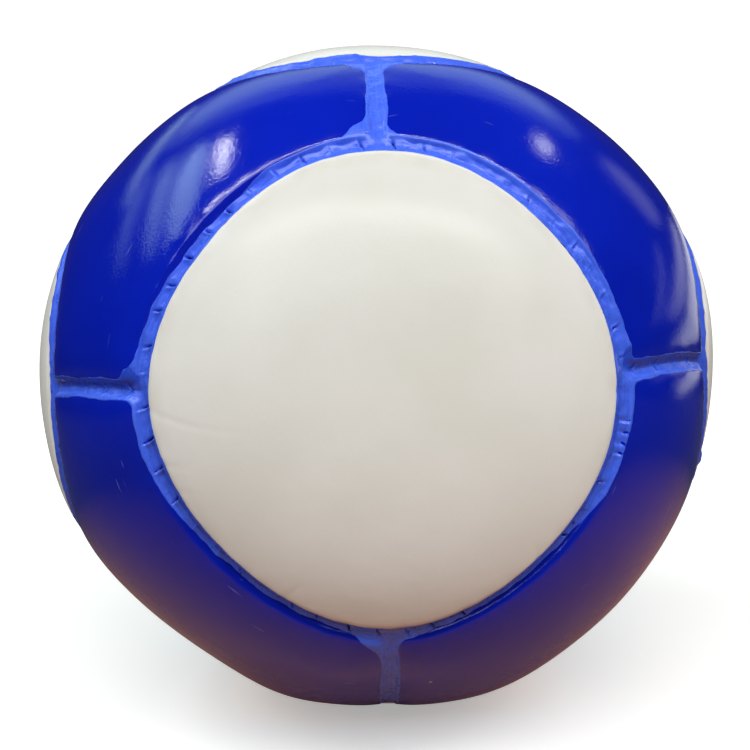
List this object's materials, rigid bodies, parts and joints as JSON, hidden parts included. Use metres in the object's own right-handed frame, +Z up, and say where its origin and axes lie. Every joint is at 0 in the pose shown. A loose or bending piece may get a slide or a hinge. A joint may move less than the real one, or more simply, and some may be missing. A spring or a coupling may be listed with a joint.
{
  "type": "handball",
  "caption": "Hand-sewn ball with round ivory panels set between glossy blue three-armed panels, painted seams, a rubber bladder and a needle valve.",
  "frame": {"origin": "the middle of the ball", "axes": "+Z up, with the rest patch at -Z; -Y towards the viewer through the front round panel; +Y through the valve"},
  "size_m": [0.175, 0.1749, 0.1745],
  "materials": {
    "ivory_skin": "satin",
    "patent_blue_skin": "gloss",
    "lining_cloth": "matte",
    "seam_thread": "matte",
    "seam_paint": "satin",
    "bladder_rubber": "matte",
    "valve_rubber": "satin",
    "plug_rubber": "matte"
  },
  "bodies": {
    "root": {"round_panel_top": "ivory_skin", "round_panel_bottom": "ivory_skin", "round_panel_front": "ivory_skin", "round_panel_back": "ivory_skin", "round_panel_right": "ivory_skin", "round_panel_left": "ivory_skin", "arm_panel_back_top_right": "patent_blue_skin", "arm_panel_back_top_left": "patent_blue_skin", "arm_panel_front_top_left": "patent_blue_skin", "arm_panel_front_top_right": "patent_blue_skin", "arm_panel_front_bottom_right": "patent_blue_skin", "arm_panel_back_bottom_right": "patent_blue_skin", "arm_panel_back_bottom_left": "patent_blue_skin", "arm_panel_front_bottom_left": "patent_blue_skin", "round_lining_top": "lining_cloth", "round_lining_bottom": "lining_cloth", "round_lining_front": "lining_cloth", "round_lining_back": "lining_cloth", "round_lining_right": "lining_cloth", "round_lining_left": "lining_cloth", "arm_lining_back_top_right": "lining_cloth", "arm_lining_back_top_left": "lining_cloth", "arm_lining_front_top_left": "lining_cloth", "arm_lining_front_top_right": "lining_cloth", "arm_lining_front_bottom_right": "lining_cloth", "arm_lining_back_bottom_right": "lining_cloth", "arm_lining_back_bottom_left": "lining_cloth", "arm_lining_front_bottom_left": "lining_cloth", "ring_thread_top": "seam_thread", "ring_thread_bottom": "seam_thread", "ring_thread_front": "seam_thread", "ring_thread_back": "seam_thread", "ring_thread_right": "seam_thread", "ring_thread_left": "seam_thread", "short_thread_top_right": "seam_thread", "short_thread_top_back": "seam_thread", "short_thread_top_left": "seam_thread", "short_thread_top_front": "seam_thread", "short_thread_bottom_right": "seam_thread", "short_thread_bottom_back": "seam_thread", "short_thread_bottom_left": "seam_thread", "short_thread_bottom_front": "seam_thread", "short_thread_back_right": "seam_thread", "short_thread_back_left": "seam_thread", "short_thread_front_left": "seam_thread", "short_thread_front_right": "seam_thread", "seam_paint_top": "seam_paint", "seam_paint_bottom": "seam_paint", "seam_paint_front": "seam_paint", "seam_paint_back": "seam_paint", "seam_paint_right": "seam_paint", "seam_paint_left": "seam_paint", "bladder": "bladder_rubber", "valve_body": "valve_rubber", "valve_plug": "plug_rubber"}
  },
  "joints": []
}
